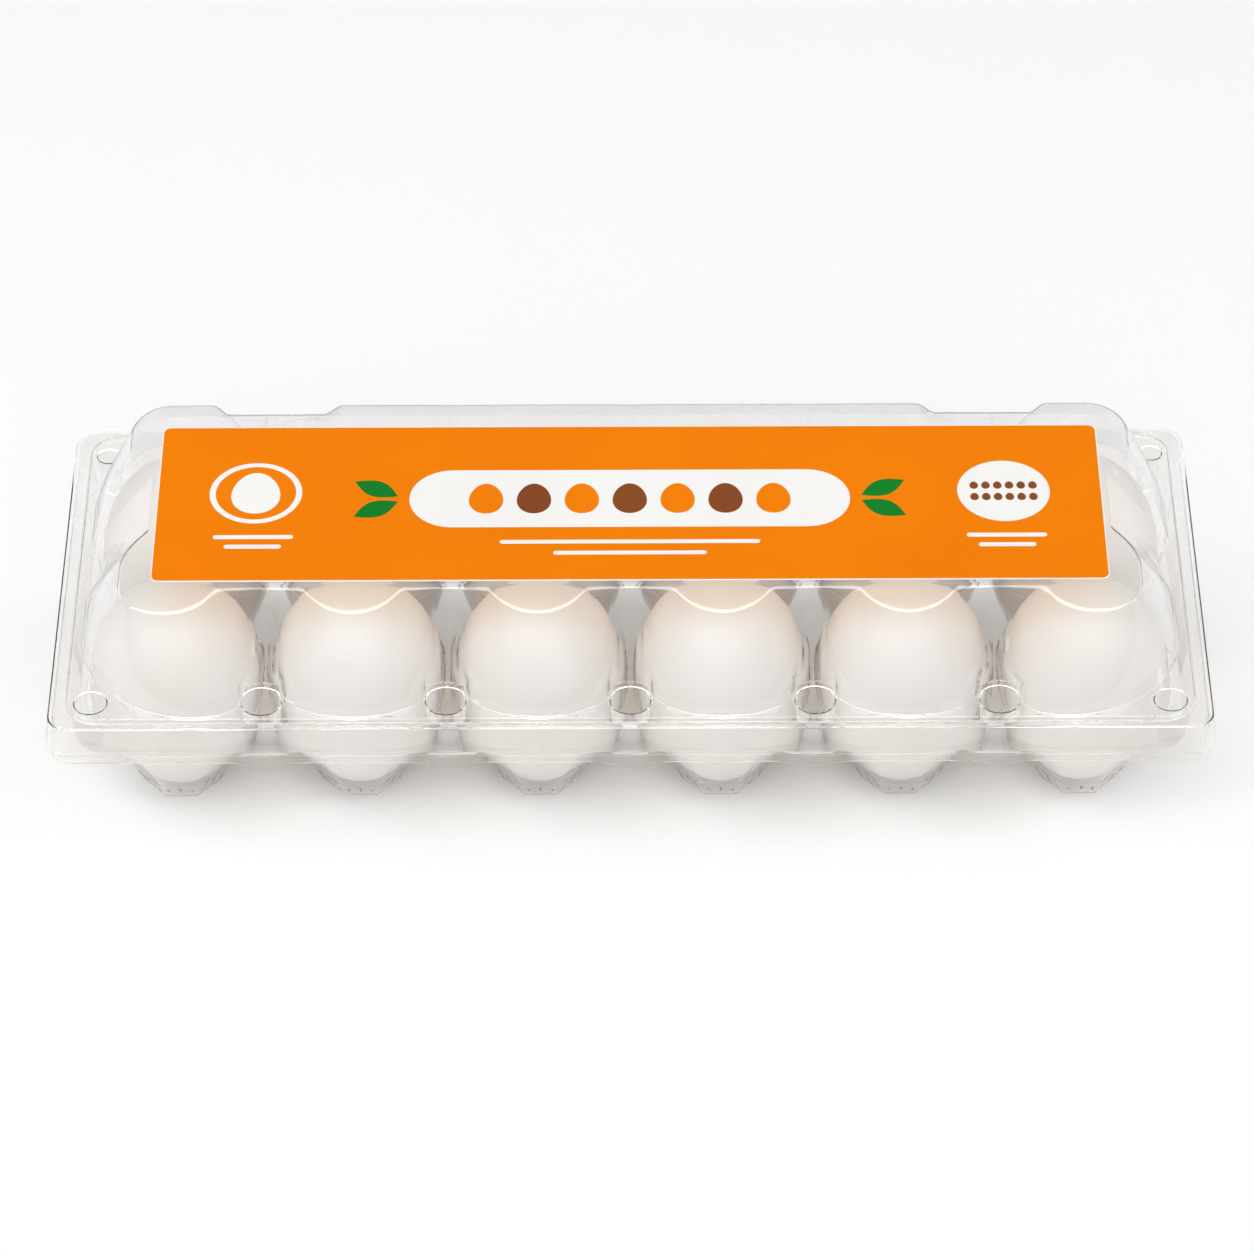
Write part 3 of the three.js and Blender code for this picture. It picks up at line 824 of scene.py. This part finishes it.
def make_tray():
    """Skirt, flange and shallow tub as one profile, then the deck with its twelve cups."""
    tray = Surface()
    loops = [skirt_ring(share) for share in (1, 0.9, 0.8, 0.75, 0.72, 0.69, 0.66, 0.5, 0.25, 0)]
    radii = [0] * (len(loops) - 2) + [0.7, 0.7, 0.6]
    loops += [
        ring_at(rounded_rectangle(tub_top, -SHEET), TRAY_TOP),
        ring_at(rounded_rectangle(tub_bottom, -SHEET), DECK),
        ring_at(rounded_rectangle(tub_bottom, -SHEET - 0.9), DECK),
    ]
    edge = round_corners(loops, radii)
    tray.add_rings(edge)
    mouths = []
    for y in (-ROW_Y, ROW_Y):
        for x in EGG_X:
            rings = cup_rings(x, y)
            mouths.append(rings[0])
            tray.add_rings(rings)
            tray.add_cap(rings[-1], SHEET)
    points, triangles, _ = fill_flat(edge[-1], mouths, DECK)
    tray.add(points, triangles)
    return tray.to_object("tray_sheet", [clear_tray])


tray_sheet = give_thickness(make_tray(), WALL)
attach(tray_sheet, "tray_body")
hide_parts("tray")
print("the tray has", len(tray_sheet.data.polygons), "faces with its thickness")

# %% [markdown]
# Lid and tray are pressed as one sheet, and a thin fold joins them along the back. It is a half round
# carried along the back edge. It could be two strips that slide on each other, but those would come
# apart when the lid opens.

# %% The fold at the back

HINGE_Y = 60.0
HINGE_Z = TRAY_TOP + LID_GAP / 2
FOLD_HALF_X = 138.0
FOLD_OUT = 0.8
FOLD_IN = 0.3
FOLD_WALL = 0.12


def make_hinge_fold():
    """Half an oval round the hinge line, from the tray's flange to the lid's: out by the cosine of the
    turn and up by its sine, each times its half width. Its inner edges reach into the flanges."""
    turn = np.linspace(-math.pi / 2, math.pi / 2, 9)
    along = np.linspace(-FOLD_HALF_X, FOLD_HALF_X, 70)
    x, t = np.meshgrid(along, turn)
    y = HINGE_Y - FOLD_IN + (FOLD_OUT + FOLD_IN) * np.cos(t)
    z = HINGE_Z + LID_GAP * np.sin(t)
    points = np.stack([x, y, z], axis=-1)
    i = np.arange(len(along) - 1)
    k = (np.arange(len(turn) - 1) * len(along))[:, None] + i
    faces = np.stack([k + len(along), k + 1 + len(along), k + 1, k], axis=-1).reshape(-1, 4)
    fold = Surface()
    fold.add(points, faces)
    return fold.to_object("hinge_fold", [clear_tray])


hinge_fold = give_thickness(make_hinge_fold(), FOLD_WALL)
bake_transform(hinge_fold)
print("the fold runs", 2 * FOLD_HALF_X, "mm along the back")

# %% [markdown]
# ## The eggs
# An egg is a surface of revolution. Its radius follows an oval that is made larger towards the blunt
# end, which points up here. A scaled sphere would be quicker, but its two ends would be alike. No two
# eggs are alike, so length and width drift by a fixed rule, and each egg is very slightly off round.

# %% Twelve eggs

EGG_FLOOR = SHEET + 0.15
EGG_LENGTH = 61.0
EGG_HALF_WIDTH = 22.1
EGG_POWER = 2.1
EGG_TAPER = 0.2
EGG_WIDEST = 1.02
EGG_RINGS = 46
EGG_POINTS = 64


def egg_surface(x, y, length, widest, lean):
    """Rings from the bottom up. With h running from -1 to 1 the radius is a superellipse of h, times one
    plus the taper times h, which makes the upper end blunt. It is divided by the most that comes to,
    so that the widest ring keeps its size."""
    h = -np.cos(np.linspace(0.02, math.pi - 0.02, EGG_RINGS))
    round_part = (1 - np.abs(h) ** EGG_POWER) ** (1 / EGG_POWER)
    radius = widest * round_part * (1 + EGG_TAPER * h) / EGG_WIDEST
    height = EGG_FLOOR + length / 2 * (1 + h)
    turn = np.arange(EGG_POINTS) * 2 * math.pi / EGG_POINTS
    squash = 1 - 0.012 * (1 + np.cos(2 * (turn - lean))) / 2
    px = x + np.outer(radius, np.cos(turn) * squash)
    py = y + np.outer(radius, np.sin(turn) * squash)
    rings = np.stack([px, py, np.repeat(height[:, None], EGG_POINTS, axis=1)], axis=-1)
    egg = Surface()
    egg.add_rings(rings)
    egg.add_cap(rings[-1], EGG_FLOOR + length)
    egg.add_cap(rings[0][::-1], EGG_FLOOR)
    return egg


for row, (row_name, y) in enumerate([("front", -ROW_Y), ("back", ROW_Y)]):
    for k, x in enumerate(EGG_X):
        length = EGG_LENGTH + 0.6 * math.sin(2.4 * k + 1.7 * row)
        widest = EGG_HALF_WIDTH + 0.25 * math.cos(1.9 * k + 2.3 * row)
        egg = egg_surface(x, y, length, widest, 1.3 * k + row)
        egg = egg.to_object(f"eggshell_{row_name}_{k + 1}", [eggshell])
        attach(egg, "tray_body")
        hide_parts(f"egg_{row_name}_{k + 1}")
print("eggs made:", 2 * COLUMNS)

# %% [markdown]
# ## The label
# The label is one flat sheet of printed paper. Its print could be a picture, but here it is geometry:
# the outlines of all printed shapes are kept as edges when the top is triangulated, and each triangle
# takes the finish of the last shape that holds it. The design is a plain one of ovals and leaves.

# %% Shapes of the print


def oval(x, y, half_w, half_h, blunt=0.0, count=56):
    """An ellipse whose upper half is drawn narrower by the blunt factor."""
    angle = np.arange(count) * 2 * math.pi / count
    narrow = 1 - blunt * np.sin(angle)
    return np.column_stack([x + half_w * np.cos(angle) * narrow, y + half_h * np.sin(angle)])


def plate(x, y, half_w, half_h, radius, around=8):
    shape = dict(half_x=half_w, front=half_h, back=half_h, radius=radius)
    return rounded_rectangle(shape, 0, 6, 3, around) + np.array([x, y])


def leaf(x, y, length, half_w, degrees, count=20):
    """Two arcs of a sine that meet in a point at each end, turned by an angle."""
    along = np.linspace(0, 1, count)
    upper = np.column_stack([along * length, half_w * np.sin(math.pi * along)])
    lower = np.column_stack([along * length, -half_w * np.sin(math.pi * along)])[1:-1][::-1]
    both = np.concatenate([lower[::-1], upper[::-1]])
    turn = math.radians(degrees)
    spin = np.array([[math.cos(turn), math.sin(turn)], [-math.sin(turn), math.cos(turn)]])
    return both @ spin + np.array([x, y])


ORANGE, WHITE, GREEN, BROWN = range(4)
LABEL_Y = -1.7
LABEL_BOTTOM = LID_TOP + 0.1
LABEL_TOP = LID_TOP + 0.35
EMBLEM_X = 98.5
EMBLEM_Y = LABEL_Y + 4
BAND_Y = LABEL_Y + 1.5
label_shape = dict(half_x=124.4, front=32.7, back=29.3, radius=2.2)


def print_shapes():
    """The printed shapes in painting order, each an outline and its colour."""
    shapes = [(plate(0, BAND_Y, 58, 11.5, 11.4), WHITE)]
    for k in range(7):
        colour = BROWN if k % 2 else ORANGE
        shapes.append((oval((k - 3) * 12.6, BAND_Y, 4.5, 6.0, 0.12), colour))
    for sign in (-1, 1):
        shapes.append((leaf(sign * 61, LABEL_Y + 2.5, 13, 3.1, 90 - sign * 62), GREEN))
        shapes.append((leaf(sign * 61, LABEL_Y + 0.5, 13, 3.1, 90 - sign * 118), GREEN))
    for width, y in ((34, -15.8), (20, -20.2)):
        shapes.append((plate(0, LABEL_Y + y, width, 0.75, 0.7), WHITE))
    shapes.append((oval(-EMBLEM_X, EMBLEM_Y, 12.2, 12.2, 0, 72), WHITE))
    shapes.append((oval(-EMBLEM_X, EMBLEM_Y, 10.6, 10.6, 0, 72), ORANGE))
    shapes.append((oval(-EMBLEM_X, EMBLEM_Y, 6.4, 8.2, 0.13), WHITE))
    shapes.append((oval(EMBLEM_X, EMBLEM_Y, 12.2, 12.2, 0, 72), WHITE))
    for row in (-1, 1):
        for k in range(COLUMNS):
            px = EMBLEM_X + (k - 2.5) * 3.1
            shapes.append((oval(px, EMBLEM_Y + row * 2.3, 1.15, 1.5, 0.1, 20), BROWN))
    for x in (-EMBLEM_X, EMBLEM_X):
        shapes.append((plate(x, LABEL_Y - 13.6, 10.5, 0.8, 0.75), WHITE))
        shapes.append((plate(x, LABEL_Y - 17.4, 7.5, 0.8, 0.75), WHITE))
    return shapes


def make_label():
    """A thin sheet with softened edges. Its underside and edge stay white, as on paper that is printed on
    one side, and a white line is left round the printed field."""
    low, high = LABEL_BOTTOM, LABEL_TOP
    paper = Surface()
    edge = [
        ring_at(rounded_rectangle(label_shape, -0.12), low),
        ring_at(rounded_rectangle(label_shape), low + 0.04),
        ring_at(rounded_rectangle(label_shape), high - 0.06),
        ring_at(rounded_rectangle(label_shape, -0.1), high),
    ]
    paper.add_rings(np.array(edge), WHITE)
    points, triangles, _ = fill_flat(edge[0], [], low)
    paper.add(points, triangles[:, ::-1], WHITE)
    field = ring_at(rounded_rectangle(label_shape, -0.3), high)
    shapes = [(field[:, :2], ORANGE), *print_shapes()]
    points, triangles, middles = fill_flat(edge[-1], [], high, [shape for shape, _ in shapes])
    colours = np.full(len(triangles), WHITE)
    for outline, colour in shapes:
        colours[inside(middles, outline)] = colour
    paper.add(points, triangles, colours)
    return paper.to_object("label_paper", [orange_print, white_print, green_print, brown_print])


label_paper = make_label()
label_paper.data.set_sharp_from_angle(angle=math.radians(35))
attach(label_paper, "lid_body")
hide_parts("label")
print("the label has", len(label_paper.data.polygons), "faces")

# %% [markdown]
# ## Floor, light and camera
# Product pictures of clear plastic use a white floor and large soft lamps, with darker surroundings
# near the horizon so that the edges of the sheet get thin grey lines. The camera is a long lens far
# away, looking down at 42 degrees.

# %% The floor


def make_floor():
    """One large white square just below the feet."""
    floor = Surface()
    size = 4000.0
    corners = [[-size, -size, -0.2], [size, -size, -0.2], [size, size, -0.2], [-size, size, -0.2]]
    floor.add(corners, [[0, 1, 2, 3]])
    material = bpy.data.materials.new("white_floor")
    material.use_nodes = True
    shader = material.node_tree.nodes["Principled BSDF"]
    shader.inputs["Base Color"].default_value = (0.97, 0.97, 0.97, 1)
    shader.inputs["Roughness"].default_value = 0.85
    shader.inputs["Specular IOR Level"].default_value = 0.05
    return floor.to_object("floor", [material])


make_floor()
print("floor made")

# %% Light


def area_lamp(name, place, target, size, power, glints=True, matt=True):
    """A rectangular lamp at a place in metres that faces a target. It can be kept out of glints, or
    out of the light on matt surfaces, as a flag or a grid does in a studio."""
    data = bpy.data.lights.new(name, "AREA")
    data.shape = "RECTANGLE"
    data.size, data.size_y = size
    data.energy = power
    lamp = bpy.data.objects.new(name, data)
    lamp.location = place
    lamp.rotation_euler = (Vector(target) - Vector(place)).to_track_quat("-Z", "Y").to_euler()
    lamp.visible_glossy = glints
    lamp.visible_transmission = glints
    lamp.visible_diffuse = matt
    bpy.context.scene.collection.objects.link(lamp)
    return lamp


def add_ramp(nodes, links, source, values):
    """A grey that runs between two values while the source runs between two others."""
    ramp = nodes.new("ShaderNodeMapRange")
    names = ("From Min", "From Max", "To Min", "To Max")
    for name, value in zip(names, values):
        ramp.inputs[name].default_value = value
    links.new(source, ramp.inputs["Value"])
    return ramp.outputs["Result"]


def make_world():
    """What matt surfaces see is a grey that is brighter in front than behind. What glossy and clear
    ones see fades towards the horizon, as a darker studio round a white table does."""
    world = bpy.data.worlds.new("studio")
    bpy.context.scene.world = world
    world.use_nodes = True
    nodes, links = world.node_tree.nodes, world.node_tree.links
    where = nodes.new("ShaderNodeTexCoord")
    split = nodes.new("ShaderNodeSeparateXYZ")
    path = nodes.new("ShaderNodeLightPath")
    matt = nodes.new("ShaderNodeBackground")
    seen = nodes["Background"]
    mix = nodes.new("ShaderNodeMixShader")
    links.new(where.outputs["Generated"], split.inputs["Vector"])
    links.new(add_ramp(nodes, links, split.outputs["Z"], (0, 0.75, 0.5, 0.86)), seen.inputs["Color"])
    links.new(add_ramp(nodes, links, split.outputs["Y"], (-1, 1, 0.8, 0.5)), matt.inputs["Color"])
    links.new(path.outputs["Is Diffuse Ray"], mix.inputs["Fac"])
    links.new(seen.outputs["Background"], mix.inputs[1])
    links.new(matt.outputs["Background"], mix.inputs[2])
    links.new(mix.outputs["Shader"], nodes["World Output"].inputs["Surface"])
    return world


make_world()
area_lamp("overhead", (-0.2, -0.3, 1.5), (0, 0, 0), (1.4, 0.5), 6.3, glints=False)
area_lamp("front", (0.2, -1.6, 1.2), (0, 0, 0.03), (2.0, 1.0), 4.4, glints=False)
area_lamp("glint panel", (0, -0.55, 1.6), (0, -0.55, 0), (2.6, 1.6), 68, matt=False)
area_lamp("left strip", (-1.1, -0.3, 0.7), (0, 0, 0.04), (0.12, 1.0), 2)
area_lamp("right strip", (1.1, 0.1, 0.7), (0, 0, 0.04), (0.12, 1.0), 1.5)

# %% Camera

PICTURE = 1254.0
FOCAL_LENGTH = 5668.0
CAMERA_TILT = 42.0
CAMERA_ROLL = -0.19


def make_camera():
    """Looks down at the tilt, with a very small roll. The focal length is in pixels of the picture."""
    data = bpy.data.cameras.new("camera")
    data.sensor_width = 36.0
    data.lens = FOCAL_LENGTH / PICTURE * 36.0
    data.clip_start, data.clip_end = 0.05, 20.0
    tilt = math.radians(CAMERA_TILT)
    distance, lift, aside = 1.542, 0.0215, -0.00084
    camera = bpy.data.objects.new("camera", data)
    roll = Matrix.Rotation(math.radians(CAMERA_ROLL), 3, "Z")
    turn = Euler((math.pi / 2 - tilt, 0, 0)).to_matrix() @ roll
    camera.rotation_euler = turn.to_euler()
    camera.location = (
        aside,
        -distance * math.cos(tilt) + lift * math.sin(tilt),
        distance * math.sin(tilt) + lift * math.cos(tilt),
    )
    bpy.context.scene.collection.objects.link(camera)
    bpy.context.scene.camera = camera
    return camera


camera = make_camera()
scene = bpy.context.scene
scene.view_settings.view_transform = "Standard"
scene.cycles.max_bounces = 8
scene.cycles.transmission_bounces = 6
scene.cycles.transparent_max_bounces = 16
scene.cycles.diffuse_bounces = 3
scene.cycles.glossy_bounces = 3
print("camera at", tuple(round(v, 4) for v in camera.location))
